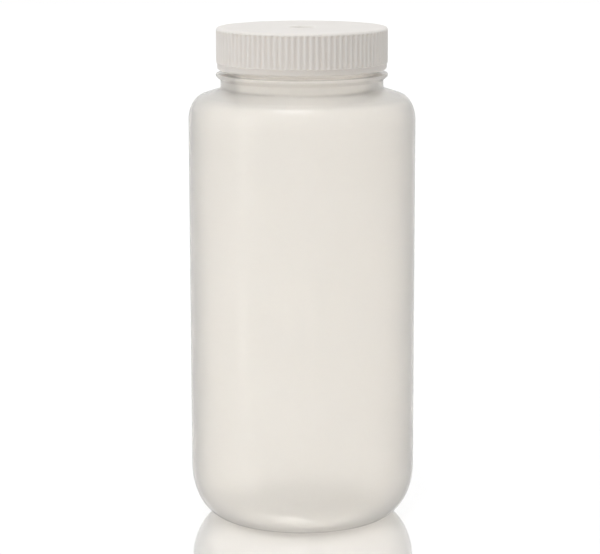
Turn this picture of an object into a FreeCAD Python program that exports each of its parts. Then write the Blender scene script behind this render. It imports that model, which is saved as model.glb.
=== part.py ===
import FreeCAD
import Part
import Sketcher
import math
import os

# Wide-mouth reagent bottle, about one litre, of natural polypropylene.
# Three pieces: a blow-moulded bottle, a ribbed screw cap and the foam liner that the cap presses on the rim.
# Millimetres, +Z up, origin at the centre of the ring that the bottle stands on.

# Driving dimensions: name, value, what it measures. Angles are in degrees.
SIZES = [
    ("bottle_height", 196.0, "standing ring to rim"),
    ("body_diameter", 91.0, "outside of the straight wall"),
    ("wall", 1.6, "wall of base, heel, body and shoulder"),
    ("standing_ring_width", 5.0, "flat ring that the bottle stands on"),
    ("push_up", 4.0, "rise of the base panel above the standing ring"),
    ("push_up_run", 3.8, "width of the slope from the standing ring up to the panel"),
    ("heel_height", 20.5, "standing ring to the foot of the straight wall"),
    ("heel_foot_radius", 10.0, "heel arc next to the standing ring"),
    ("heel_wall_radius", 27.5, "heel arc next to the straight wall"),
    ("shoulder_wall_radius", 14.0, "shoulder arc next to the straight wall"),
    ("shoulder_turn", 32.6, "angle that this arc turns through"),
    ("shoulder_crown_radius", 6.3, "shoulder arc next to the sloping top"),
    ("shoulder_slope", 17.6, "slope of the shoulder's top"),
    ("collar_root", 1.0, "blend between shoulder and collar"),
    ("collar_step", 2.5, "collar beyond the neck, on the radius"),
    ("collar_height", 3.6, "straight collar under the bead"),
    ("bead_projection", 1.8, "bead beyond the collar, on the radius"),
    ("bead_taper", 1.5, "height of the bead's tapered underside"),
    ("bead_rim", 1.1, "height of the bead's straight edge"),
    ("bead_edge", 0.3, "softening of the bead's edges"),
    ("neck_diameter", 60.0, "neck between the turns of the thread"),
    ("neck_height", 15.0, "top of the bead to the rim"),
    ("neck_wall", 3.0, "wall of the neck"),
    ("neck_root", 0.8, "blend at the foot of the neck"),
    ("rim_edge", 0.6, "softening of the rim's edges"),
    ("liner_thickness", 1.5, "foam liner"),
    ("liner_clearance", 0.3, "liner to skirt, on the radius"),
    ("skirt_gap", 1.6, "room for the thread between neck and skirt, on the radius"),
    ("skirt_wall", 2.15, "skirt inside the rib grooves"),
    ("skirt_lead_in", 0.6, "chamfer inside the skirt's lower edge"),
    ("cap_clearance", 1.6, "top of the bead to the skirt"),
    ("cap_top", 1.8, "thickness of the cap's top"),
    ("cap_edge_radius", 1.1, "rounding of the cap's top edge"),
    ("rib_margin", 0.4, "plain band between the ribs and the rounded edge"),
    ("rib_count", 90, "ribs round the skirt"),
    ("rib_depth", 0.5, "depth of the grooves between the ribs"),
    ("groove_floor", 0.9, "width of a groove at its floor"),
    ("groove_draft", 30.0, "lean of a groove's sides"),
    ("lip_height", 2.4, "plain lip under the ribs"),
    ("lip_inset", 0.4, "lip inside the ribs, on the radius"),
    ("lip_edge", 0.7, "softening of the lip's lower edge"),
    ("gate_well_diameter", 10.6, "shallow well in the middle of the cap's top"),
    ("gate_well_depth", 1.0, "depth of the well"),
    ("gate_well_edge", 0.4, "softening of the well's edge"),
]

# Lengths that follow from the driving dimensions, written the way the sheet reads them.
BODY_RADIUS = "Sizes.body_diameter / 2"
NECK_RADIUS = "Sizes.neck_diameter / 2"
BORE_RADIUS = NECK_RADIUS + " - Sizes.neck_wall"
COLLAR_RADIUS = NECK_RADIUS + " + Sizes.collar_step"
BEAD_RADIUS = COLLAR_RADIUS + " + Sizes.bead_projection"
SKIRT_BORE_RADIUS = NECK_RADIUS + " + Sizes.skirt_gap"
GROOVE_RADIUS = SKIRT_BORE_RADIUS + " + Sizes.skirt_wall"
RIB_RADIUS = GROOVE_RADIUS + " + Sizes.rib_depth"
LIP_RADIUS = RIB_RADIUS + " - Sizes.lip_inset"
LINER_RADIUS = SKIRT_BORE_RADIUS + " - Sizes.liner_clearance"
SLOPE_LENGTH = "sqrt(Sizes.push_up ^ 2 + Sizes.push_up_run ^ 2)"
PANEL_OFFSET = "Sizes.wall * (" + SLOPE_LENGTH + " - Sizes.push_up_run) / Sizes.push_up"
SKIRT_DEPTH = "Sizes.neck_height - Sizes.cap_clearance + Sizes.liner_thickness"
CAP_HEIGHT = SKIRT_DEPTH + " + Sizes.cap_top"
GROOVE_FOOT = "Sizes.lip_height + Sizes.lip_inset / 2"
GROOVE_LENGTH = CAP_HEIGHT + " - Sizes.cap_edge_radius - Sizes.rib_margin - (" + GROOVE_FOOT + ")"
CAP_FOOT = "Sizes.bottle_height - Sizes.neck_height + Sizes.cap_clearance"

# How a sketch counts the points of an edge, its own origin and its two axes.
START, END, CENTRE = range(1, 4)
ROOT = (-1, START)
BASELINE = ROOT[0]
AXIS = BASELINE - 1

# How close two numbers are taken as the same: a step, a ring's size or place, and a share of a volume.
STRAIGHT = 1e-6
SAME_RING = 0.01
SAME_VOLUME = 0.05


def make_sheet(document):
    """Writes the driving dimensions into a spreadsheet, each under its own alias."""
    sheet = document.addObject("Spreadsheet::Sheet", "Sizes")
    for row, (name, value, meaning) in enumerate(SIZES, start=1):
        sheet.set("A%d" % row, name)
        sheet.set("B%d" % row, str(value))
        sheet.set("C%d" % row, meaning)
        sheet.setAlias("B%d" % row, name)
    document.recompute()
    return sheet


def make_body(document, name):
    body = document.addObject("PartDesign::Body", name)
    body.Label = name
    return body


def origin_plane(body, role):
    return next(feature for feature in body.Origin.OriginFeatures if feature.Role == role)


class Outline:
    """A closed sketch drawn edge by edge and tied to the size sheet."""

    def __init__(self, body, name, role, x, y):
        self.sketch = body.newObject("Sketcher::SketchObject", name)
        self.sketch.AttachmentSupport = [(origin_plane(body, role), "")]
        self.sketch.MapMode = "FlatFace"
        self.here = FreeCAD.Vector(x, y, 0)
        self.edges = []
        self.smooth = []

    def _add(self, curve, first, last, end, smooth):
        index = self.sketch.addGeometry(curve, False)
        self.edges.append((index, first, last))
        self.smooth.append(smooth)
        self.here = end
        return index

    def line_to(self, x, y, smooth=False, square=True):
        """A straight edge. Smooth: tangent to the edge before it. Square: stays level or upright."""
        end = FreeCAD.Vector(x, y, 0)
        step = end - self.here
        index = self._add(Part.LineSegment(self.here, end), START, END, end, smooth)
        if not square:
            return index
        if abs(step.x) < STRAIGHT:
            self.sketch.addConstraint(Sketcher.Constraint("Vertical", index))
        elif abs(step.y) < STRAIGHT:
            self.sketch.addConstraint(Sketcher.Constraint("Horizontal", index))
        return index

    def arc_to(self, x, y, centre_x, centre_y, clockwise=False, smooth=False):
        """A round edge about a centre. Smooth means tangent to the edge before it."""
        end = FreeCAD.Vector(x, y, 0)
        centre = FreeCAD.Vector(centre_x, centre_y, 0)
        circle = Part.Circle(centre, FreeCAD.Vector(0, 0, 1), (end - centre).Length)
        low, high = (end, self.here) if clockwise else (self.here, end)
        first, last = (END, START) if clockwise else (START, END)
        angle_low = math.atan2(low.y - centre.y, low.x - centre.x)
        angle_high = math.atan2(high.y - centre.y, high.x - centre.x)
        if angle_high < angle_low:
            angle_high += 2 * math.pi
        return self._add(Part.ArcOfCircle(circle, angle_low, angle_high), first, last, end, smooth)

    def close(self):
        """Joins each edge to the next, tangent where it was drawn smooth."""
        for number, (index, first, last) in enumerate(self.edges):
            before, _, before_last = self.edges[number - 1]
            kind = "Tangent" if self.smooth[number] else "Coincident"
            self.sketch.addConstraint(Sketcher.Constraint(kind, before, before_last, index, first))

    def first(self, edge):
        return edge, self.edges[edge][1]

    def last(self, edge):
        return edge, self.edges[edge][2]

    def rule(self, kind, *where):
        self.sketch.addConstraint(Sketcher.Constraint(kind, *where))

    def size(self, name, kind, *where, drawn, expression):
        """A dimension that holds as drawn and then follows an expression of the size sheet."""
        number = self.sketch.addConstraint(Sketcher.Constraint(kind, *where, drawn))
        self.sketch.renameConstraint(number, name)
        self.sketch.setExpression("Constraints." + name, expression)

    def across(self, name, point, expression, start=ROOT):
        drawn = self.sketch.getPoint(*point).x - self.sketch.getPoint(*start).x
        self.size(name, "DistanceX", *start, *point, drawn=drawn, expression=expression)

    def up(self, name, point, expression, start=ROOT):
        drawn = self.sketch.getPoint(*point).y - self.sketch.getPoint(*start).y
        self.size(name, "DistanceY", *start, *point, drawn=drawn, expression=expression)

    def radius(self, name, edge, expression):
        drawn = self.sketch.Geometry[edge].Radius
        self.size(name, "Radius", edge, drawn=drawn, expression=expression)


def revolve(body, name, sketch):
    """Turns a section once round the axis."""
    feature = body.newObject("PartDesign::Revolution", name)
    feature.Profile = sketch
    feature.ReferenceAxis = (sketch, ["V_Axis"])
    feature.Angle = 360
    body.Document.recompute()
    return feature


def ring_edges(shape, *rings):
    """Names of the circular edges about the axis with the given radius and height."""
    names = []
    for number, edge in enumerate(shape.Edges, start=1):
        if edge.Degenerated or not isinstance(edge.Curve, Part.Circle):
            continue
        for radius, height in rings:
            gap = max(abs(edge.Curve.Radius - radius), abs(edge.Curve.Center.z - height))
            if gap < SAME_RING:
                names.append("Edge%d" % number)
    if len(names) < len(rings):
        raise RuntimeError("an edge to soften was not found")
    return names


def soften(body, name, size, *rings):
    """Chamfers circular edges, each given as a radius and a height."""
    base = body.Tip
    feature = body.newObject("PartDesign::Chamfer", name)
    feature.Base = (base, ring_edges(base.Shape, *rings))
    feature.setExpression("Size", "Sizes." + size)
    body.Document.recompute()


def circle_sketch(body, name, drawn, expression, height="0"):
    """A circle about the axis at a height, its radius tied to the size sheet."""
    sketch = body.newObject("Sketcher::SketchObject", name)
    sketch.AttachmentSupport = [(origin_plane(body, "XY_Plane"), "")]
    sketch.MapMode = "FlatFace"
    sketch.setExpression("AttachmentOffset.Base.z", height)
    curve = Part.Circle(FreeCAD.Vector(), FreeCAD.Vector(0, 0, 1), drawn)
    circle = sketch.addGeometry(curve, False)
    sketch.addConstraint(Sketcher.Constraint("Coincident", circle, CENTRE, *ROOT))
    number = sketch.addConstraint(Sketcher.Constraint("Radius", circle, drawn))
    sketch.renameConstraint(number, "circle_radius")
    sketch.setExpression("Constraints.circle_radius", expression)
    body.Document.recompute()
    return sketch


def make_bottle(document, sheet):
    """The bottle: one wall section turned round the axis, with its edges softened."""
    body = make_body(document, "bottle")
    body_radius = sheet.body_diameter / 2
    neck_radius = sheet.neck_diameter / 2
    bore_radius = neck_radius - sheet.neck_wall
    collar_radius = neck_radius + sheet.collar_step
    bead_radius = collar_radius + sheet.bead_projection
    slope = math.radians(sheet.shoulder_slope)
    turn = math.radians(sheet.shoulder_turn)

    # Heel: two arcs that carry the standing ring into the straight wall.
    heel_run = sheet.heel_wall_radius - sheet.heel_foot_radius
    heel_rise = sheet.heel_height - sheet.heel_foot_radius
    wall_arc_x = body_radius - sheet.heel_wall_radius
    foot_radius = wall_arc_x + math.sqrt(heel_run ** 2 - heel_rise ** 2)
    lean = math.atan2(-heel_rise, foot_radius - wall_arc_x)
    ring_radius = foot_radius - sheet.standing_ring_width

    # Base: a flat panel lifted off the ground by a slope inside the standing ring.
    panel_radius = ring_radius - sheet.push_up_run
    slope_length = math.hypot(sheet.push_up, sheet.push_up_run)
    panel_offset = sheet.wall * (slope_length - sheet.push_up_run) / sheet.push_up

    # Neck: heights counted down from the rim.
    bead_top = sheet.bottle_height - sheet.neck_height
    bead_low = bead_top - sheet.bead_rim
    collar_top = bead_low - sheet.bead_taper
    collar_foot = collar_top - sheet.collar_height

    # Shoulder: two arcs and a sloping top that hang from the foot of the collar.
    crown_run = sheet.shoulder_wall_radius - sheet.shoulder_crown_radius
    shoulder_x = body_radius - sheet.shoulder_wall_radius
    crown_x = shoulder_x + crown_run * math.cos(turn)
    crown_end_x = crown_x + sheet.shoulder_crown_radius * math.sin(slope)
    crown_end_z = collar_foot - (crown_end_x - collar_radius) * math.tan(slope)
    crown_z = crown_end_z - sheet.shoulder_crown_radius * math.cos(slope)
    wall_top = crown_z - crown_run * math.sin(turn)

    def on_heel(radius):
        return wall_arc_x + radius * math.cos(lean), sheet.heel_height + radius * math.sin(lean)

    def on_shoulder(radius):
        return shoulder_x + radius * math.cos(turn), wall_top + radius * math.sin(turn)

    def on_crown(radius):
        return crown_x + radius * math.sin(slope), crown_z + radius * math.cos(slope)

    wall = sheet.wall
    outline = Outline(body, "bottle_section", "XZ_Plane", 0, sheet.push_up)

    # Outside, from the middle of the base up to the rim.
    panel = outline.line_to(panel_radius, sheet.push_up)
    lift = outline.line_to(ring_radius, 0)
    ring = outline.line_to(foot_radius, 0)
    foot_arc = outline.arc_to(
        *on_heel(sheet.heel_wall_radius), foot_radius, sheet.heel_foot_radius, smooth=True
    )
    wall_arc = outline.arc_to(body_radius, sheet.heel_height, wall_arc_x, sheet.heel_height, smooth=True)
    side = outline.line_to(body_radius, wall_top, smooth=True)
    shoulder = outline.arc_to(*on_shoulder(sheet.shoulder_wall_radius), shoulder_x, wall_top, smooth=True)
    crown = outline.arc_to(*on_crown(sheet.shoulder_crown_radius), crown_x, crown_z, smooth=True)
    flank = outline.line_to(collar_radius, collar_foot, smooth=True)
    collar = outline.line_to(collar_radius, collar_top)
    taper = outline.line_to(bead_radius, bead_low)
    bead = outline.line_to(bead_radius, bead_top)
    outline.line_to(neck_radius, bead_top)
    neck = outline.line_to(neck_radius, sheet.bottle_height)
    outline.line_to(bore_radius, sheet.bottle_height)

    # Inside, from the rim back down to the middle of the base.
    inner_crown_x, inner_crown_z = on_crown(sheet.shoulder_crown_radius - wall)
    bore_foot = inner_crown_z + (inner_crown_x - bore_radius) * math.tan(slope)
    bore = outline.line_to(bore_radius, bore_foot)
    inner_flank = outline.line_to(inner_crown_x, inner_crown_z)
    inner_crown = outline.arc_to(
        *on_shoulder(sheet.shoulder_wall_radius - wall), crown_x, crown_z, clockwise=True, smooth=True
    )
    inner_shoulder = outline.arc_to(
        body_radius - wall, wall_top, shoulder_x, wall_top, clockwise=True, smooth=True
    )
    inner_side = outline.line_to(body_radius - wall, sheet.heel_height, smooth=True)
    inner_wall_arc = outline.arc_to(
        *on_heel(sheet.heel_wall_radius - wall), wall_arc_x, sheet.heel_height, clockwise=True, smooth=True
    )
    inner_foot_arc = outline.arc_to(
        foot_radius, wall, foot_radius, sheet.heel_foot_radius, clockwise=True, smooth=True
    )
    outline.line_to(ring_radius + panel_offset, wall, smooth=True)
    inner_lift = outline.line_to(panel_radius + panel_offset, sheet.push_up + wall)
    outline.line_to(0, sheet.push_up + wall)
    middle = outline.line_to(0, sheet.push_up)
    outline.close()

    # The inner arcs share their centres with the outer ones, so the wall keeps one thickness.
    for inner, outer in (
        (inner_crown, crown),
        (inner_shoulder, shoulder),
        (inner_wall_arc, wall_arc),
        (inner_foot_arc, foot_arc),
    ):
        outline.rule("Coincident", inner, CENTRE, outer, CENTRE)
    outline.rule("Parallel", inner_flank, flank)
    outline.rule("Parallel", inner_lift, lift)
    outline.rule("PointOnObject", *outline.first(panel), AXIS)
    outline.rule("PointOnObject", *outline.first(ring), BASELINE)

    outline.up("push_up", outline.first(panel), "Sizes.push_up")
    outline.across("push_up_run", outline.last(lift), "Sizes.push_up_run", outline.first(lift))
    outline.across("panel_offset", outline.last(inner_lift), PANEL_OFFSET, outline.first(lift))
    outline.across("ring_width", outline.last(ring), "Sizes.standing_ring_width", outline.first(ring))
    outline.radius("heel_foot_radius", foot_arc, "Sizes.heel_foot_radius")
    outline.radius("heel_wall_radius", wall_arc, "Sizes.heel_wall_radius")
    outline.up("heel_height", outline.last(wall_arc), "Sizes.heel_height")
    outline.across("body_radius", outline.first(side), BODY_RADIUS)
    outline.radius("shoulder_wall_radius", shoulder, "Sizes.shoulder_wall_radius")
    outline.radius("shoulder_crown_radius", crown, "Sizes.shoulder_crown_radius")
    outline.up(
        "shoulder_turn",
        outline.last(shoulder),
        "Sizes.shoulder_wall_radius * sin(Sizes.shoulder_turn * 1 deg)",
        outline.first(shoulder),
    )
    slope_angle = "(180 - Sizes.shoulder_slope) * 1 deg"
    outline.size("shoulder_slope", "Angle", flank, drawn=math.pi - slope, expression=slope_angle)
    outline.across("collar_radius", outline.first(collar), COLLAR_RADIUS)
    outline.up("collar_height", outline.last(collar), "Sizes.collar_height", outline.first(collar))
    outline.up("bead_taper", outline.last(taper), "Sizes.bead_taper", outline.first(taper))
    outline.across("bead_radius", outline.first(bead), BEAD_RADIUS)
    outline.up("bead_rim", outline.last(bead), "Sizes.bead_rim", outline.first(bead))
    outline.across("neck_radius", outline.first(neck), NECK_RADIUS)
    outline.up("neck_height", outline.last(neck), "Sizes.neck_height", outline.first(neck))
    outline.up("bottle_height", outline.last(neck), "Sizes.bottle_height")
    outline.across("bore_radius", outline.first(bore), BORE_RADIUS)
    outline.across("inner_radius", outline.first(inner_side), BODY_RADIUS + " - Sizes.wall")
    outline.up("base_thickness", outline.first(middle), "Sizes.wall", outline.last(middle))
    document.recompute()

    revolve(body, "bottle_wall", outline.sketch)
    soften(body, "collar_blend", "collar_root", (collar_radius, collar_foot))
    soften(body, "bead_edges", "bead_edge", (bead_radius, bead_low), (bead_radius, bead_top))
    soften(body, "neck_blend", "neck_root", (neck_radius, bead_top))
    rim = sheet.bottle_height
    soften(body, "rim_edges", "rim_edge", (neck_radius, rim), (bore_radius, rim))
    return body


def make_liner(document, sheet):
    """The liner: a disc punched from foam sheet, lying on the rim."""
    body = make_body(document, "seal_liner")
    liner_radius = sheet.neck_diameter / 2 + sheet.skirt_gap - sheet.liner_clearance
    disc = circle_sketch(body, "liner_disc", liner_radius, LINER_RADIUS)
    pad = body.newObject("PartDesign::Pad", "liner_sheet")
    pad.Profile = disc
    pad.setExpression("Length", "Sizes.liner_thickness")
    body.setExpression("Placement.Base.z", "Sizes.bottle_height")
    document.recompute()
    return body


def make_cap(document, sheet):
    """The cap: a turned section, grooved all round its skirt, with a gate well in the top."""
    body = make_body(document, "screw_cap")
    skirt_bore = sheet.neck_diameter / 2 + sheet.skirt_gap
    groove_radius = skirt_bore + sheet.skirt_wall
    rib_radius = groove_radius + sheet.rib_depth
    lip_radius = rib_radius - sheet.lip_inset
    ceiling = sheet.neck_height - sheet.cap_clearance + sheet.liner_thickness
    top = ceiling + sheet.cap_top
    edge = sheet.cap_edge_radius
    rib_foot = sheet.lip_height + sheet.lip_inset

    # Section, drawn from the skirt's lower edge round the outside to the ceiling.
    outline = Outline(body, "cap_section", "XZ_Plane", skirt_bore, 0)
    foot = outline.line_to(lip_radius, 0)
    lip = outline.line_to(lip_radius, sheet.lip_height)
    rib_end = outline.line_to(rib_radius, rib_foot)
    skirt = outline.line_to(rib_radius, top - edge)
    edge_arc = outline.arc_to(rib_radius - edge, top, rib_radius - edge, top - edge, smooth=True)
    crown = outline.line_to(0, top, smooth=True)
    middle = outline.line_to(0, ceiling)
    outline.line_to(skirt_bore, ceiling)
    skirt_wall = outline.line_to(skirt_bore, 0)
    outline.close()
    outline.rule("PointOnObject", *outline.first(middle), AXIS)
    outline.rule("PointOnObject", *outline.first(foot), BASELINE)
    outline.across("skirt_bore", outline.first(skirt_wall), SKIRT_BORE_RADIUS)
    outline.across("lip_radius", outline.first(lip), LIP_RADIUS)
    outline.up("lip_height", outline.last(lip), "Sizes.lip_height")
    outline.across("rib_radius", outline.first(skirt), RIB_RADIUS)
    outline.up("rib_end", outline.last(rib_end), "Sizes.lip_inset", outline.first(rib_end))
    outline.radius("edge_radius", edge_arc, "Sizes.cap_edge_radius")
    outline.up("cap_height", outline.last(crown), CAP_HEIGHT)
    outline.up("skirt_depth", outline.last(middle), SKIRT_DEPTH)
    document.recompute()
    revolve(body, "cap_shell", outline.sketch)
    soften(body, "lip_lower_edge", "lip_edge", (lip_radius, 0))
    soften(body, "skirt_mouth", "skirt_lead_in", (skirt_bore, 0))

    # Gate well: a shallow round pocket in the middle of the top.
    well_radius = sheet.gate_well_diameter / 2
    well_size = "Sizes.gate_well_diameter / 2"
    well_circle = circle_sketch(body, "gate_well_circle", well_radius, well_size, CAP_HEIGHT)
    well = body.newObject("PartDesign::Pocket", "gate_well")
    well.Profile = well_circle
    well.setExpression("Length", "Sizes.gate_well_depth")
    document.recompute()
    soften(body, "gate_well_rim", "gate_well_edge", (well_radius, top))

    # Ribs: one groove with leaning sides, repeated round the skirt. It starts on the slope above the lip and
    # ends under the rounded top edge. It is drawn twice as deep as the ribs, to pass clear of them.
    groove_top = rib_radius + sheet.rib_depth
    side_lean = math.tan(math.radians(sheet.groove_draft))
    half_floor = sheet.groove_floor / 2
    half_mouth = half_floor + (groove_top - groove_radius) * side_lean
    groove = Outline(body, "groove_section", "XY_Plane", groove_radius, -half_floor)
    low_side = groove.line_to(groove_top, -half_mouth)
    mouth = groove.line_to(groove_top, half_mouth, square=False)
    high_side = groove.line_to(groove_radius, half_floor)
    floor = groove.line_to(groove_radius, -half_floor, square=False)
    groove.close()
    groove.rule("Symmetric", *groove.first(floor), *groove.last(floor), BASELINE)
    groove.rule("Symmetric", *groove.first(mouth), *groove.last(mouth), BASELINE)
    groove.across("groove_radius", groove.first(low_side), GROOVE_RADIUS)
    groove.across("groove_top", groove.first(high_side), "2 * Sizes.rib_depth", groove.last(high_side))
    groove.up("floor_width", groove.first(floor), "Sizes.groove_floor", groove.last(floor))
    groove.up(
        "mouth_width",
        groove.last(mouth),
        "Sizes.groove_floor + 4 * Sizes.rib_depth * tan(Sizes.groove_draft * 1 deg)",
        groove.first(mouth),
    )
    groove.sketch.setExpression("AttachmentOffset.Base.z", GROOVE_FOOT)
    groove.sketch.setExpression("AttachmentOffset.Rotation.Angle", "180 deg / Sizes.rib_count")
    document.recompute()
    plain = body.Tip.Shape.Volume
    cut = body.newObject("PartDesign::Pocket", "rib_groove")
    cut.Profile = groove.sketch
    cut.Reversed = True
    cut.setExpression("Length", GROOVE_LENGTH)
    document.recompute()
    ribs = body.newObject("PartDesign::PolarPattern", "ribs")
    ribs.Originals = [cut]
    ribs.Axis = (groove.sketch, ["N_Axis"])
    ribs.Angle = 360
    ribs.setExpression("Occurrences", "Sizes.rib_count")
    body.Tip = ribs
    body.setExpression("Placement.Base.z", CAP_FOOT)
    document.recompute()
    groove_area = sheet.rib_depth * (sheet.groove_floor + sheet.rib_depth * side_lean)
    expected = sheet.rib_count * groove_area * cut.Length.Value
    removed = plain - ribs.Shape.Volume
    if abs(removed / expected - 1) > SAME_VOLUME:
        raise RuntimeError("the grooves took away %g mm3, not %g" % (removed, expected))
    return body


def check(document, bodies):
    """Stops if any object failed or any piece is not one sound solid."""
    for item in document.Objects:
        if "Invalid" in item.State or "Error" in item.State:
            raise RuntimeError("%s failed: %s" % (item.Name, item.State))
    for body in bodies:
        shape = body.Shape
        if shape.isNull() or not shape.isValid() or len(shape.Solids) != 1:
            raise RuntimeError("%s is not one sound solid" % body.Label)


document = FreeCAD.newDocument("reagent_bottle")
sheet = make_sheet(document)
bodies = [make_bottle(document, sheet), make_liner(document, sheet), make_cap(document, sheet)]
document.recompute()
check(document, bodies)
os.makedirs("parts", exist_ok=True)
for body in bodies:
    body.Shape.exportStep("parts/%s.step" % body.Label)
    print(body.Label, round(body.Shape.Volume), "mm3", body.Shape.BoundBox)
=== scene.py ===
import math

import bmesh
import bpy
import numpy as np
from mathutils import Matrix, Vector


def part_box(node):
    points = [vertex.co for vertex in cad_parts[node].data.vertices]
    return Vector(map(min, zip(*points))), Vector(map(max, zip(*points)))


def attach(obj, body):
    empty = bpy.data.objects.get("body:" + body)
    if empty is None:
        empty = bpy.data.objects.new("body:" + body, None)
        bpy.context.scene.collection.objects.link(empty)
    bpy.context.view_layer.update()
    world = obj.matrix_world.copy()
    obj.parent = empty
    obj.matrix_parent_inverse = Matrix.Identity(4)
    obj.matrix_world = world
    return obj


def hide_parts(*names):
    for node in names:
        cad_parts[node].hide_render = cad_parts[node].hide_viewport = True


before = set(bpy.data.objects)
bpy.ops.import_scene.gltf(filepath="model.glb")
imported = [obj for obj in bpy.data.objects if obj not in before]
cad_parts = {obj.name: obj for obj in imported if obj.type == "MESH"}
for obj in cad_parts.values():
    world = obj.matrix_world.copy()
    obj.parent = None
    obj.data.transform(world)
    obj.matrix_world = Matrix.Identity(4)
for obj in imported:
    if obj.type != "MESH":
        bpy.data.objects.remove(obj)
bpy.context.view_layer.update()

# Bottle
# One blow-moulded shell of natural polypropylene, milky and a little warm, with a satin skin.
# It stands on a ring round a lifted panel. The mould forms the bead and the neck's thread as well.
MM = 0.001
MOULD_LINE_HEIGHT = 0.07 * MM
MOULD_LINE_WIDTH = 0.7 * MM
BODY_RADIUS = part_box("bottle")[1].x - MOULD_LINE_HEIGHT
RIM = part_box("bottle")[1].z
WALL = 1.6 * MM
SAME_RADIUS = WALL / 100
PUSH_UP = 4.0 * MM
PUSH_UP_RUN = 3.8 * MM
PANEL_ROUND = 2.0 * MM
RING_ROUND = 1.0 * MM
STANDING_RING = 5.0 * MM
HEEL_WIDTH = 13.5 * MM
HEEL_HEIGHT = 20.5 * MM
SHOULDER_WALL_RADIUS = 14.0 * MM
SHOULDER_TURN = math.radians(32.6)
SHOULDER_CROWN_RADIUS = 6.3 * MM
SHOULDER_SLOPE = math.radians(17.6)
NECK_RADIUS = 30.0 * MM
NECK_WALL = 3.0 * MM
NECK_HEIGHT = 15.0 * MM
NECK_FOOT_ROUND = 0.9 * MM
NECK_FOOT_RUN = 2.0 * MM
RIM_ROUND = 0.7 * MM
RIM_OUTSIDE_RUN = 1.2 * MM
RIM_INSIDE_RUN = 2.0 * MM
THROAT_ROUND = 2.0 * MM
COLLAR_RADIUS = 32.5 * MM
COLLAR_HEIGHT = 3.6 * MM
COLLAR_FOOT_ROUND = 1.4 * MM
COLLAR_TOP_ROUND = 0.4 * MM
BEAD_RADIUS = 34.3 * MM
BEAD_RIM = 1.1 * MM
BEAD_TAPER = 1.5 * MM
BEAD_LOW_ROUND = 0.5 * MM
BEAD_TOP_ROUND = 0.45 * MM
THREAD_LEAD = 25.4 * MM / 6
THREAD_TURNS = 1.6
THREAD_CREST = 1.0 * MM
THREAD_FOOT = 2.5 * MM
THREAD_FADE = 0.09
NECK_THREAD_DEPTH = 1.2 * MM
NECK_THREAD_TOP = RIM - 2.4 * MM
PINCH_HEIGHT = 0.3 * MM
PINCH_WIDTH = 1.2 * MM
PINCH_LENGTH = 38.0 * MM
BOTTLE_SIDES = 240
PANEL_STEP = 1.5 * MM
SIDE_STEP = 8.0 * MM
NECK_STEP = 0.3 * MM
CREASE = math.radians(50)


def arc(x, z, radius, start, stop, steps):
    """Points of a section on an arc about (x, z), between two angles."""
    turns = [start + (stop - start) * k / steps for k in range(steps + 1)]
    return [(x + radius * math.cos(t), z + radius * math.sin(t)) for t in turns]


def straight(start, stop, step):
    """Points of a section between two points, about a step apart, with both ends left out."""
    count = max(1, round(math.dist(start, stop) / step))
    shares = [k / count for k in range(1, count)]
    return [tuple(a + (b - a) * share for a, b in zip(start, stop)) for share in shares]


def softened(corners, steps=5):
    """Points of a section along straight runs, with each corner (x, z, radius) rounded."""
    points = []
    for number, (x, z, radius) in enumerate(corners):
        corner = Vector((x, z))
        if radius == 0:
            points.append((x, z))
            continue
        back = (Vector(corners[number - 1][:2]) - corner).normalized()
        ahead = (Vector(corners[number + 1][:2]) - corner).normalized()
        half = back.angle(ahead) / 2
        middle = corner + (back + ahead).normalized() * radius / math.sin(half)
        first = corner + back * radius / math.tan(half) - middle
        sweep = first.angle_signed(corner + ahead * radius / math.tan(half) - middle)
        for k in range(steps + 1):
            spoke = Matrix.Rotation(-sweep * k / steps, 2) @ first
            points.append(tuple(middle + spoke))
    return points


def ease(share):
    """A smooth step from 0 to 1."""
    share = min(max(share, 0), 1)
    return share * share * (3 - 2 * share)


def thread(angle, z, top):
    """How much of a right-hand thread stands at a place on a wall, from 0 to 1. It ends below top."""
    foot = top - THREAD_TURNS * THREAD_LEAD
    lap = angle / math.tau
    along = lap + round((z - foot) / THREAD_LEAD - lap)
    off_centre = abs(z - foot - along * THREAD_LEAD)
    flank = ease((THREAD_FOOT / 2 - off_centre) / (THREAD_FOOT - THREAD_CREST) * 2)
    ends = ease(along / THREAD_FADE) * ease((THREAD_TURNS - along) / THREAD_FADE)
    return flank * ends


def plain(radius, z, angle):
    """A surface that is simply round."""
    return radius, z


def moulded(radius, z, angle):
    """The outside as the mould leaves it: thread on the neck, a fine line where the mould's halves met."""
    across = min(angle, abs(angle - math.pi), math.tau - angle) * radius
    line = MOULD_LINE_HEIGHT * ease(1 - 2 * across / MOULD_LINE_WIDTH)
    on_neck = abs(radius - NECK_RADIUS) < SAME_RADIUS
    ridge = NECK_THREAD_DEPTH * thread(angle, z, NECK_THREAD_TOP) if on_neck else 0
    return radius + max(line, ridge), z


def pinched(radius, z, angle):
    """The panel under the base, with the low bar where the mould pinched the tube shut."""
    side = abs(radius * math.sin(angle))
    end = abs(radius * math.cos(angle))
    bar = ease(2 - 4 * side / PINCH_WIDTH) * ease((PINCH_LENGTH / 2 - end) / PINCH_WIDTH)
    return radius, z - PINCH_HEIGHT * bar


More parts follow.
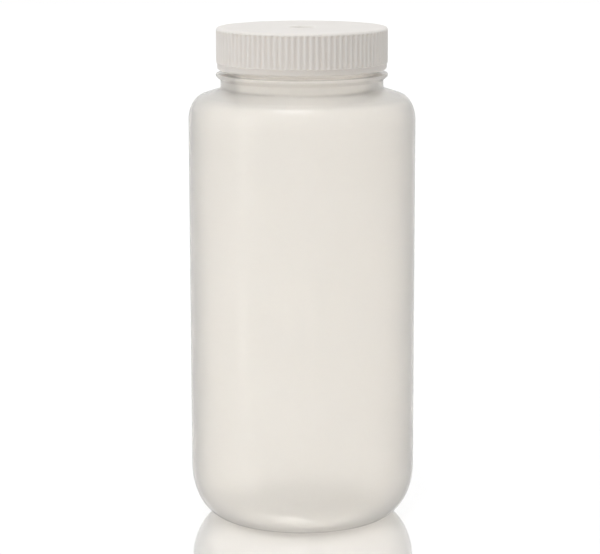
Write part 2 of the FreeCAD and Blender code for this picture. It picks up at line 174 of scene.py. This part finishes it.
def turned(name, rows, angles, whole=True):
    """A mesh turned about the axis. A row is (radius, z, surface), and a row on the axis is one point."""
    shell = bmesh.new()
    rings = []
    for radius, z, surface in rows:
        ring = []
        for angle in angles if radius > 0 else [0]:
            r, height = surface(radius, z, angle)
            ring.append(shell.verts.new((r * math.cos(angle), r * math.sin(angle), height)))
        rings.append(ring)
    spans = len(angles) if whole else len(angles) - 1
    for low, high in zip(rings, rings[1:]):
        for k in range(spans):
            after = (k + 1) % len(angles)
            corners = [(low, k), (low, after), (high, after), (high, k)]
            shell.faces.new(dict.fromkeys(ring[place % len(ring)] for ring, place in corners))
    bmesh.ops.recalc_face_normals(shell, faces=shell.faces)
    mesh = bpy.data.meshes.new(name)
    shell.to_mesh(mesh)
    shell.free()
    return mesh


def shown(name, mesh):
    """An object in the scene with smooth faces, creased where they meet at a sharp angle."""
    piece = bpy.data.objects.new(name, mesh)
    bpy.context.scene.collection.objects.link(piece)
    mesh.shade_smooth()
    mesh.set_sharp_from_angle(angle=CREASE)
    return piece


ring_foot = BODY_RADIUS - HEEL_WIDTH
ring_inside = ring_foot - STANDING_RING
panel_radius = ring_inside - PUSH_UP_RUN
panel_flat = panel_radius - 2 * PANEL_ROUND
panel_inside = PUSH_UP + WALL
bead_top = RIM - NECK_HEIGHT
bead_low = bead_top - BEAD_RIM
collar_top = bead_low - BEAD_TAPER
collar_foot = collar_top - COLLAR_HEIGHT
bore = NECK_RADIUS - NECK_WALL
crown_run = SHOULDER_WALL_RADIUS - SHOULDER_CROWN_RADIUS
shoulder_x = BODY_RADIUS - SHOULDER_WALL_RADIUS
crown_x = shoulder_x + crown_run * math.cos(SHOULDER_TURN)
crown_end_x = crown_x + SHOULDER_CROWN_RADIUS * math.sin(SHOULDER_SLOPE)
crown_end_z = collar_foot - (crown_end_x - COLLAR_RADIUS) * math.tan(SHOULDER_SLOPE)
crown_z = crown_end_z - SHOULDER_CROWN_RADIUS * math.cos(SHOULDER_SLOPE)
wall_top = crown_z - crown_run * math.sin(SHOULDER_TURN)
slope_end = math.pi / 2 - SHOULDER_SLOPE


def heel(inset, steps=18):
    """The heel's quarter ellipse, drawn in from the outside by an inset."""
    turns = [math.pi / 2 * k / steps for k in range(steps + 1)]
    width, height = HEEL_WIDTH - inset, HEEL_HEIGHT - inset
    return [(ring_foot + width * math.sin(t), HEEL_HEIGHT - height * math.cos(t)) for t in turns]


def shoulder(inset, steps=8):
    """The shoulder's two arcs from the wall up to the slope, drawn in from the outside by an inset."""
    wall_arc = arc(shoulder_x, wall_top, SHOULDER_WALL_RADIUS - inset, 0, SHOULDER_TURN, steps)
    crown_arc = arc(crown_x, crown_z, SHOULDER_CROWN_RADIUS - inset, SHOULDER_TURN, slope_end, steps)
    return wall_arc + crown_arc[1:]


base_slope = softened(
    [
        (panel_flat, PUSH_UP, 0),
        (panel_radius, PUSH_UP, PANEL_ROUND),
        (ring_inside, 0, RING_ROUND),
        (ring_foot, 0, 0),
    ]
)
panel = straight((0, PUSH_UP), base_slope[0], PANEL_STEP)
heel_outside = heel(0)
side = straight((BODY_RADIUS, HEEL_HEIGHT), (BODY_RADIUS, wall_top), SIDE_STEP)
shoulder_outside = shoulder(0)
neck_foot = softened(
    [
        (*shoulder_outside[-1], 0),
        (COLLAR_RADIUS, collar_foot, COLLAR_FOOT_ROUND),
        (COLLAR_RADIUS, collar_top, COLLAR_TOP_ROUND),
        (BEAD_RADIUS, bead_low, BEAD_LOW_ROUND),
        (BEAD_RADIUS, bead_top, BEAD_TOP_ROUND),
        (NECK_RADIUS, bead_top, NECK_FOOT_ROUND),
        (NECK_RADIUS, bead_top + NECK_FOOT_RUN, 0),
    ]
)
rim = softened(
    [
        (NECK_RADIUS, RIM - RIM_OUTSIDE_RUN, 0),
        (NECK_RADIUS, RIM, RIM_ROUND),
        (bore, RIM, RIM_ROUND),
        (bore, RIM - RIM_INSIDE_RUN, 0),
    ]
)
neck = straight(neck_foot[-1], rim[0], NECK_STEP)
shoulder_inside = shoulder(WALL)[::-1]
bore_foot = shoulder_inside[0][1] + (shoulder_inside[0][0] - bore) * math.tan(SHOULDER_SLOPE)
throat = softened([(*rim[-1], 0), (bore, bore_foot, THROAT_ROUND), (*shoulder_inside[0], 0)])
heel_inside = heel(WALL)[::-1]
inner_slope = softened(
    [
        (*heel_inside[-1], 0),
        (ring_inside + WALL / 2, WALL, RING_ROUND),
        (panel_radius + WALL / 2, panel_inside, PANEL_ROUND),
        (panel_flat, panel_inside, 0),
    ]
)
outside = base_slope + heel_outside[1:] + side + shoulder_outside + neck_foot[1:] + neck + rim[:-1]
inside = throat + shoulder_inside[1:] + heel_inside + inner_slope[1:]
bottle_rows = [(0, PUSH_UP, pinched)]
bottle_rows += [(radius, z, pinched) for radius, z in panel]
bottle_rows += [(radius, z, moulded) for radius, z in outside]
bottle_rows += [(radius, z, plain) for radius, z in inside]
bottle_rows += [(0, panel_inside, plain)]
line_offsets = [share * MOULD_LINE_WIDTH / BODY_RADIUS for share in (-0.5, -0.25, 0, 0.25, 0.5)]
step = math.tau / BOTTLE_SIDES
bottle_angles = {k * step for k in range(BOTTLE_SIDES) if k % (BOTTLE_SIDES // 2)}
bottle_angles |= {(middle + offset) % math.tau for middle in (0, math.pi) for offset in line_offsets}
bottle = shown("bottle_shell", turned("bottle_shell", bottle_rows, sorted(bottle_angles)))

# A Mix node's sockets go by number, because its sockets for values and for colours share their names.
MIX_SHARE = 0
MIX_VALUE_INPUTS = (2, 3)
MIX_VALUE_OUTPUT = 0
MIX_COLOUR_INPUTS = (6, 7)
MIX_COLOUR_OUTPUT = 2


def set_inputs(node, values):
    """Sets a node's own inputs by name."""
    for name, value in values.items():
        node.inputs[name].default_value = value


def skin_group():
    """The skin that a polished mould leaves on plastic: slow waves, a fine grain and a cloudy sheen."""
    group = bpy.data.node_groups.new("moulded_skin", "ShaderNodeTree")
    sockets = group.interface
    sockets.new_socket("Position", in_out="INPUT", socket_type="NodeSocketVector")
    for name in ("Waves", "Grain", "Grain share", "Dull", "Bright"):
        sockets.new_socket(name, in_out="INPUT", socket_type="NodeSocketFloat")
    for name in ("Height", "Roughness", "Cloud"):
        sockets.new_socket(name, in_out="OUTPUT", socket_type="NodeSocketFloat")
    add, join = group.nodes.new, group.links.new
    source, result = add("NodeGroupInput"), add("NodeGroupOutput")
    waves, grain = add("ShaderNodeTexNoise"), add("ShaderNodeTexNoise")
    set_inputs(waves, {"Detail": 2})
    set_inputs(grain, {"Detail": 3})
    height = add("ShaderNodeMix")
    join(source.outputs["Grain share"], height.inputs[MIX_SHARE])
    for noise, size, socket in zip((waves, grain), ("Waves", "Grain"), MIX_VALUE_INPUTS):
        join(source.outputs["Position"], noise.inputs["Vector"])
        join(source.outputs[size], noise.inputs["Scale"])
        join(noise.outputs["Fac"], height.inputs[socket])
    sheen = add("ShaderNodeMapRange")
    set_inputs(sheen, {"From Min": 0.3, "From Max": 0.7})
    join(waves.outputs["Fac"], sheen.inputs["Value"])
    join(source.outputs["Bright"], sheen.inputs["To Min"])
    join(source.outputs["Dull"], sheen.inputs["To Max"])
    join(height.outputs[MIX_VALUE_OUTPUT], result.inputs["Height"])
    join(sheen.outputs["Result"], result.inputs["Roughness"])
    join(waves.outputs["Fac"], result.inputs["Cloud"])
    return group


def finish_nodes(name):
    """A new material with its nodes, the function that joins them and its Principled shader."""
    material = bpy.data.materials.new(name)
    material.use_nodes = True
    nodes, join = material.node_tree.nodes, material.node_tree.links.new
    return material, nodes, join, nodes["Principled BSDF"]


def two_tone(nodes, join, share, pale, deep):
    """A colour that goes from a pale tone to a deep one by a share."""
    tint = nodes.new("ShaderNodeMix")
    tint.data_type = "RGBA"
    for socket, tone in zip(MIX_COLOUR_INPUTS, (pale, deep)):
        tint.inputs[socket].default_value = (*tone, 1)
    join(share, tint.inputs[MIX_SHARE])
    return tint.outputs[MIX_COLOUR_OUTPUT]


moulded_skin = skin_group()


def moulded_plastic(name, pale, deep, skin, bump):
    """A Principled plastic with the moulded skin: two close colours, a roughness range and a fine bump."""
    material, nodes, join, shader = finish_nodes(name)
    place = nodes.new("ShaderNodeTexCoord")
    surface = nodes.new("ShaderNodeGroup")
    surface.node_tree = moulded_skin
    set_inputs(surface, skin)
    join(place.outputs["Object"], surface.inputs["Position"])
    join(two_tone(nodes, join, surface.outputs["Cloud"], pale, deep), shader.inputs["Base Color"])
    join(surface.outputs["Roughness"], shader.inputs["Roughness"])
    relief = nodes.new("ShaderNodeBump")
    set_inputs(relief, {"Strength": bump, "Distance": MM})
    join(surface.outputs["Height"], relief.inputs["Height"])
    join(relief.outputs["Normal"], shader.inputs["Normal"])
    return material, shader


natural_plastic, natural = moulded_plastic(
    "natural_polypropylene",
    pale=(0.985, 0.955, 0.910),
    deep=(0.975, 0.941, 0.892),
    skin={"Waves": 45, "Grain": 900, "Grain share": 0.25, "Dull": 0.58, "Bright": 0.52},
    bump=0.08,
)
# The low index, the rough transmission and the scattering together stand for a milky wall.
milky_wall = {
    "IOR": 1.15,
    "Transmission Weight": 0.74,
    "Subsurface Weight": 1.0,
    "Subsurface Radius": (1, 1, 1),
    "Subsurface Scale": 3 * MM,
    "Coat Weight": 0.6,
    "Coat Roughness": 0.15,
}
set_inputs(natural, milky_wall)
bottle.data.materials.append(natural_plastic)
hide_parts("bottle")
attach(bottle, "bottle")

# Seal liner
# A disc punched from white foamed polyethylene sheet, pushed up into the cap above its thread.
# The rim has pressed a shallow ring into its lower face.
LINER_LOW, LINER_HIGH = (corner.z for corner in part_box("seal_liner"))
LINER_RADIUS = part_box("seal_liner")[1].x
LINER_EDGE_ROUND = 0.15 * MM
PRESS_DEPTH = 0.15 * MM
PRESS_ROUND = 0.8 * MM
LINER_SIDES = 160
FOAM_CELLS_PER_METRE = 1800

pressed = LINER_LOW + PRESS_DEPTH
liner_outline = softened(
    [
        (bore - 2 * PRESS_ROUND, LINER_LOW, 0),
        (bore - PRESS_ROUND, LINER_LOW, PRESS_ROUND),
        (bore, pressed, PRESS_ROUND),
        (NECK_RADIUS, pressed, PRESS_ROUND / 2),
        (NECK_RADIUS + PRESS_ROUND / 2, LINER_LOW, PRESS_ROUND / 2),
        (LINER_RADIUS, LINER_LOW, LINER_EDGE_ROUND),
        (LINER_RADIUS, LINER_HIGH, LINER_EDGE_ROUND),
        (bore, LINER_HIGH, 0),
    ],
    steps=3,
)
liner_rows = [(0, LINER_LOW, plain)]
liner_rows += [(radius, z, plain) for radius, z in liner_outline]
liner_rows += [(0, LINER_HIGH, plain)]
liner_angles = [math.tau * k / LINER_SIDES for k in range(LINER_SIDES)]
liner = shown("foam_liner", turned("foam_liner", liner_rows, liner_angles))

foam, foam_nodes, foam_join, foam_shader = finish_nodes("polyethylene_foam")
foam_finish = {
    "Roughness": 0.75,
    "Subsurface Weight": 1.0,
    "Subsurface Radius": (1, 1, 1),
    "Subsurface Scale": 3 * MM,
}
set_inputs(foam_shader, foam_finish)
foam_place = foam_nodes.new("ShaderNodeTexCoord")
foam_cells = foam_nodes.new("ShaderNodeTexVoronoi")
set_inputs(foam_cells, {"Scale": FOAM_CELLS_PER_METRE})
foam_join(foam_place.outputs["Object"], foam_cells.inputs["Vector"])
cell = foam_cells.outputs["Distance"]
# The tone darkens from each foam cell's middle out to its edges, which the bump below sinks into grooves:
# painted shade in the grooves between the cells.
foam_colour_with_painted_groove_shade = two_tone(foam_nodes, foam_join, cell, pale=(0.90, 0.90, 0.89), deep=(0.80, 0.80, 0.79))
foam_join(foam_colour_with_painted_groove_shade, foam_shader.inputs["Base Color"])
foam_relief = foam_nodes.new("ShaderNodeBump")
foam_relief.invert = True
set_inputs(foam_relief, {"Strength": 0.35, "Distance": 0.2 * MM})
foam_join(cell, foam_relief.inputs["Height"])
foam_join(foam_relief.outputs["Normal"], foam_shader.inputs["Normal"])
liner.data.materials.append(foam)
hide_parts("seal_liner")
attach(liner, "liner")

# Screw cap
# One injection-moulded cap of white polypropylene: ribs for the fingers, a plain lip, a rounded top edge
# and a gate well where the plastic came in. The thread inside its skirt draws it down on the rim.
CAP_FOOT, CAP_TOP = (corner.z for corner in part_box("screw_cap"))
RIB_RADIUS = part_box("screw_cap")[1].x
RIBS = 90
RIB_DEPTH = 0.5 * MM
RIB_RUN_OUT = 0.7 * MM
RIB_STEP = 2.5 * MM
RIB_WELD = 0.002 * MM
LIP_INSET = 0.4 * MM
LIP_HEIGHT = 2.4 * MM
LIP_ROUND = 0.2 * MM
CAP_EDGE = 1.1 * MM
CAP_FOOT_ROUND = 0.9 * MM
TOP_STEP = 5.0 * MM
SKIRT_BORE = 31.6 * MM
SKIRT_FOOT_ROUND = 0.5 * MM
SKIRT_FOOT_RUN = 1.2 * MM
SKIRT_STEP = 0.38 * MM
CEILING = LINER_HIGH
CEILING_ROUND = 0.25 * MM
CEILING_RUN = 2.0 * MM
CAP_THREAD_DEPTH = 1.25 * MM
CAP_THREAD_TOP = NECK_THREAD_TOP - 2.1 * MM
GATE_WELL_RADIUS = 5.3 * MM
GATE_WELL_DEPTH = 1.0 * MM
GATE_WELL_LEAN = 0.3 * MM
GATE_WELL_FLOOR_ROUND = 0.3 * MM
GATE_WELL_EDGE_ROUND = 0.35 * MM
GATE_WELL_BORDER = 2.0 * MM
GATE_MARK_RADIUS = 0.9 * MM
GATE_MARK_HEIGHT = 0.25 * MM

# From a rib's crest to mid-groove: the share of the way, and the share of the groove's depth there.
RIB_SHAPE = [(0, 0), (0.28, 0.12), (0.5, 0.5), (0.72, 0.88), (1, 1)]

rib_places, rib_depths = zip(*RIB_SHAPE)
rib_pitch = math.tau / RIBS
rib_low = CAP_FOOT + LIP_HEIGHT
rib_high = CAP_TOP - CAP_EDGE


def ribbed(radius, z, angle):
    """The skirt's outside: grooves between the ribs, which run out at the lip and under the top edge."""
    depth = np.interp(abs(angle) / (rib_pitch / 2), rib_places, rib_depths)
    low_end = ease((z - rib_low) / RIB_RUN_OUT)
    high_end = ease((rib_high - z) / RIB_RUN_OUT + 0.5)
    return radius - RIB_DEPTH * depth * low_end * high_end, z


well_floor = CAP_TOP - GATE_WELL_DEPTH
mark_top = well_floor + GATE_MARK_HEIGHT
well = softened(
    [
        (GATE_MARK_RADIUS / 3, mark_top, 0),
        (GATE_MARK_RADIUS, well_floor, GATE_MARK_HEIGHT),
        (GATE_WELL_RADIUS - GATE_WELL_LEAN, well_floor, GATE_WELL_FLOOR_ROUND),
        (GATE_WELL_RADIUS, CAP_TOP, GATE_WELL_EDGE_ROUND),
        (GATE_WELL_RADIUS + GATE_WELL_BORDER, CAP_TOP, 0),
    ],
    steps=3,
)
top_edge = arc(RIB_RADIUS - CAP_EDGE, CAP_TOP - CAP_EDGE, CAP_EDGE, math.pi / 2, 0, 7)
top = straight(well[-1], top_edge[0], TOP_STEP)
rib_top = [(RIB_RADIUS, rib_high - share * RIB_RUN_OUT) for share in (0.17, 0.33, 0.5, 1)]
rib_run = straight(rib_top[-1], (RIB_RADIUS, rib_low + RIB_RUN_OUT), RIB_STEP)
lip = softened(
    [
        (RIB_RADIUS, rib_low + RIB_RUN_OUT, 0),
        (RIB_RADIUS, rib_low + LIP_INSET, LIP_ROUND),
        (RIB_RADIUS - LIP_INSET, rib_low, LIP_ROUND),
        (RIB_RADIUS - LIP_INSET, CAP_FOOT, CAP_FOOT_ROUND),
        (SKIRT_BORE, CAP_FOOT, SKIRT_FOOT_ROUND),
        (SKIRT_BORE, CAP_FOOT + SKIRT_FOOT_RUN, 0),
    ],
    steps=4,
)
ceiling = softened(
    [
        (SKIRT_BORE, CEILING - CEILING_RUN, 0),
        (SKIRT_BORE, CEILING, CEILING_ROUND),
        (bore, CEILING, 0),
    ],
    steps=3,
)
skirt_inside = straight(lip[-1], ceiling[0], SKIRT_STEP)
cap_rows = [(0, mark_top, plain)]
cap_rows += [(radius, z, plain) for radius, z in well + top]
cap_rows += [(radius, z, ribbed) for radius, z in top_edge + rib_top + rib_run + lip]
cap_rows += [(radius, z, plain) for radius, z in skirt_inside + ceiling]
cap_rows += [(0, CEILING, plain)]
half_rib = [share * rib_pitch / 2 for share in rib_places]
rib_angles = [-angle for angle in half_rib[:0:-1]] + half_rib
cap_wedge = turned("cap_wedge", cap_rows, rib_angles, whole=False)


def round_tree():
    """Nodes that set copies of one wedge round the axis and join them into one shell."""
    tree = bpy.data.node_groups.new("set_round_the_axis", "GeometryNodeTree")
    sockets = tree.interface
    sockets.new_socket("Wedge", in_out="INPUT", socket_type="NodeSocketGeometry")
    sockets.new_socket("Copies", in_out="INPUT", socket_type="NodeSocketInt")
    sockets.new_socket("Pitch", in_out="INPUT", socket_type="NodeSocketFloat")
    sockets.new_socket("Weld", in_out="INPUT", socket_type="NodeSocketFloat")
    sockets.new_socket("Material", in_out="INPUT", socket_type="NodeSocketMaterial")
    sockets.new_socket("Shell", in_out="OUTPUT", socket_type="NodeSocketGeometry")
    add, join = tree.nodes.new, tree.links.new
    source, result = add("NodeGroupInput"), add("NodeGroupOutput")
    points, place = add("GeometryNodePoints"), add("GeometryNodeInstanceOnPoints")
    number, turn, spin = add("GeometryNodeInputIndex"), add("ShaderNodeMath"), add("ShaderNodeCombineXYZ")
    real, weld = add("GeometryNodeRealizeInstances"), add("GeometryNodeMergeByDistance")
    dress = add("GeometryNodeSetMaterial")
    turn.operation = "MULTIPLY"
    join(source.outputs["Copies"], points.inputs["Count"])
    join(number.outputs["Index"], turn.inputs[0])
    join(source.outputs["Pitch"], turn.inputs[1])
    join(turn.outputs["Value"], spin.inputs["Z"])
    join(points.outputs["Points"], place.inputs["Points"])
    join(source.outputs["Wedge"], place.inputs["Instance"])
    join(spin.outputs["Vector"], place.inputs["Rotation"])
    join(place.outputs["Instances"], real.inputs["Geometry"])
    join(real.outputs["Geometry"], weld.inputs["Geometry"])
    join(source.outputs["Weld"], weld.inputs["Distance"])
    join(weld.outputs["Geometry"], dress.inputs["Geometry"])
    join(source.outputs["Material"], dress.inputs["Material"])
    join(dress.outputs["Geometry"], result.inputs["Shell"])
    return tree


white_plastic, white = moulded_plastic(
    "white_polypropylene",
    pale=(0.80, 0.765, 0.725),
    deep=(0.77, 0.735, 0.695),
    skin={"Waves": 60, "Grain": 1400, "Grain share": 0.5, "Dull": 0.50, "Bright": 0.44},
    bump=0.06,
)
white_wall = {
    "IOR": 1.49,
    "Subsurface Weight": 1.0,
    "Subsurface Radius": (1, 1, 1),
    "Subsurface Scale": 2 * MM,
}
set_inputs(white, white_wall)

ribs = bpy.data.objects.new("cap_wedge", cap_wedge)
bpy.context.scene.collection.objects.link(ribs)
rounder = ribs.modifiers.new("ribs", "NODES")
rounder.node_group = round_tree()
settings = {"Copies": RIBS, "Pitch": rib_pitch, "Weld": RIB_WELD, "Material": white_plastic}
for socket in rounder.node_group.interface.items_tree:
    if socket.name in settings:
        rounder[socket.identifier] = settings[socket.name]
depsgraph = bpy.context.evaluated_depsgraph_get()
cap_mesh = bpy.data.meshes.new_from_object(ribs.evaluated_get(depsgraph))
ribs.modifiers.clear()
bpy.data.objects.remove(ribs)

cap_shell = bmesh.new()
cap_shell.from_mesh(cap_mesh)
for vertex in cap_shell.verts:
    radius = math.hypot(vertex.co.x, vertex.co.y)
    if abs(radius - SKIRT_BORE) < SAME_RADIUS:
        angle = math.atan2(vertex.co.y, vertex.co.x) % math.tau
        drawn_in = CAP_THREAD_DEPTH * thread(angle, vertex.co.z, CAP_THREAD_TOP) / radius
        vertex.co.x *= 1 - drawn_in
        vertex.co.y *= 1 - drawn_in
bmesh.ops.recalc_face_normals(cap_shell, faces=cap_shell.faces)
cap_shell.to_mesh(cap_mesh)
cap_shell.free()
cap_mesh.name = "ribbed_cap"
cap = shown("ribbed_cap", cap_mesh)
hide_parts("screw_cap")
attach(cap, "cap")

# Floor and light
# A glossy white sheet in a white room that is brighter above than below. A tall soft box stands to the
# left of the camera and a square one hangs over the bottle, a little in front of it.
FLOOR_SIZE = 6.0
FLOOR_LEVEL = -0.02 * MM
FLOOR_GLOW = 0.1
ROOM_LIGHT = 0.3
ROOM_LEAN = (0, 0.1, 0.4)
ROOM_SEEN = 1
LAMP_AIM = (0, 0, 0.1)
WHITE = (1, 1, 1, 1)

floor_mesh = bpy.data.meshes.new("floor")
half = FLOOR_SIZE / 2
floor_corners = [(x * half, y * half, FLOOR_LEVEL) for x, y in ((-1, -1), (1, -1), (1, 1), (-1, 1))]
floor_mesh.from_pydata(floor_corners, [], [(0, 1, 2, 3)])
floor = bpy.data.objects.new("floor", floor_mesh)
bpy.context.scene.collection.objects.link(floor)


def on_rays(tree, *kinds):
    """A value of 1 on rays of the given kinds, and 0 on the rest."""
    path = tree.nodes.new("ShaderNodeLightPath")
    share = path.outputs[f"Is {kinds[0]} Ray"]
    for kind in kinds[1:]:
        either = tree.nodes.new("ShaderNodeMath")
        either.operation = "MAXIMUM"
        tree.links.new(share, either.inputs[0])
        tree.links.new(path.outputs[f"Is {kind} Ray"], either.inputs[1])
        share = either.outputs["Value"]
    return share


sheet, sheet_nodes, sheet_join, sheet_shader = finish_nodes("glossy_sheet")
sheet_finish = {
    "Base Color": (0.93, 0.93, 0.93, 1),
    "Metallic": 0.8,
    "Roughness": 0.07,
    "Emission Color": WHITE,
}
set_inputs(sheet_shader, sheet_finish)
glow = sheet_nodes.new("ShaderNodeMath")
glow.operation = "MULTIPLY"
glow.inputs[1].default_value = FLOOR_GLOW
sheet_join(on_rays(sheet.node_tree, "Camera", "Glossy"), glow.inputs[0])
sheet_join(glow.outputs["Value"], sheet_shader.inputs["Emission Strength"])
white_through = sheet_nodes.new("ShaderNodeEmission")
sheet_mix = sheet_nodes.new("ShaderNodeMixShader")
sheet_join(on_rays(sheet.node_tree, "Transmission"), sheet_mix.inputs[0])
sheet_join(sheet_shader.outputs["BSDF"], sheet_mix.inputs[1])
sheet_join(white_through.outputs["Emission"], sheet_mix.inputs[2])
sheet_join(sheet_mix.outputs["Shader"], sheet_nodes["Material Output"].inputs["Surface"])
floor_mesh.materials.append(sheet)

room = bpy.data.worlds.new("white_room")
bpy.context.scene.world = room
room.use_nodes = True
room_nodes, room_join = room.node_tree.nodes, room.node_tree.links.new
towards = room_nodes.new("ShaderNodeTexCoord")
lean = room_nodes.new("ShaderNodeVectorMath")
lean.operation = "DOT_PRODUCT"
lean.inputs[1].default_value = ROOM_LEAN
room_join(towards.outputs["Generated"], lean.inputs[0])
room_light = room_nodes.new("ShaderNodeMath")
room_light.inputs[1].default_value = ROOM_LIGHT
room_join(lean.outputs["Value"], room_light.inputs[0])
level = room_nodes.new("ShaderNodeMix")
cast, seen = (level.inputs[socket] for socket in MIX_VALUE_INPUTS)
seen.default_value = ROOM_SEEN
room_join(room_light.outputs["Value"], cast)
room_join(on_rays(room.node_tree, "Camera", "Glossy", "Transmission"), level.inputs[MIX_SHARE])
room_join(level.outputs[MIX_VALUE_OUTPUT], room_nodes["Background"].inputs["Strength"])
set_inputs(room_nodes["Background"], {"Color": WHITE})


def soft_box(name, place, width, height, power):
    """A rectangular lamp that faces the middle of the bottle."""
    lamp = bpy.data.lights.new(name, "AREA")
    lamp.shape = "RECTANGLE"
    lamp.size = width
    lamp.size_y = height
    lamp.energy = power
    box = bpy.data.objects.new(name, lamp)
    box.location = place
    box.rotation_euler = (Vector(LAMP_AIM) - Vector(place)).to_track_quat("-Z", "Y").to_euler()
    bpy.context.scene.collection.objects.link(box)


soft_box("tall_box", place=(-1.75, -0.95, 0.75), width=0.4, height=1.5, power=4.5)
soft_box("top_box", place=(-0.2, -0.7, 2.0), width=0.9, height=0.9, power=17)

# Camera
# A long lens a little above the cap, looking slightly down, with a trace of roll.
CAMERA_PLACE = (-0.0006, -0.921, 0.2720)
CAMERA_PITCH = math.radians(10.70)
CAMERA_ROLL = math.radians(0.11)
CAMERA_LENS = 138.5

lens = bpy.data.cameras.new("camera")
lens.lens = CAMERA_LENS
camera = bpy.data.objects.new("camera", lens)
camera.location = CAMERA_PLACE
camera.rotation_euler = (math.pi / 2 - CAMERA_PITCH, CAMERA_ROLL, 0)
bpy.context.scene.collection.objects.link(camera)
bpy.context.scene.camera = camera
bpy.context.scene.view_settings.view_transform = "Standard"
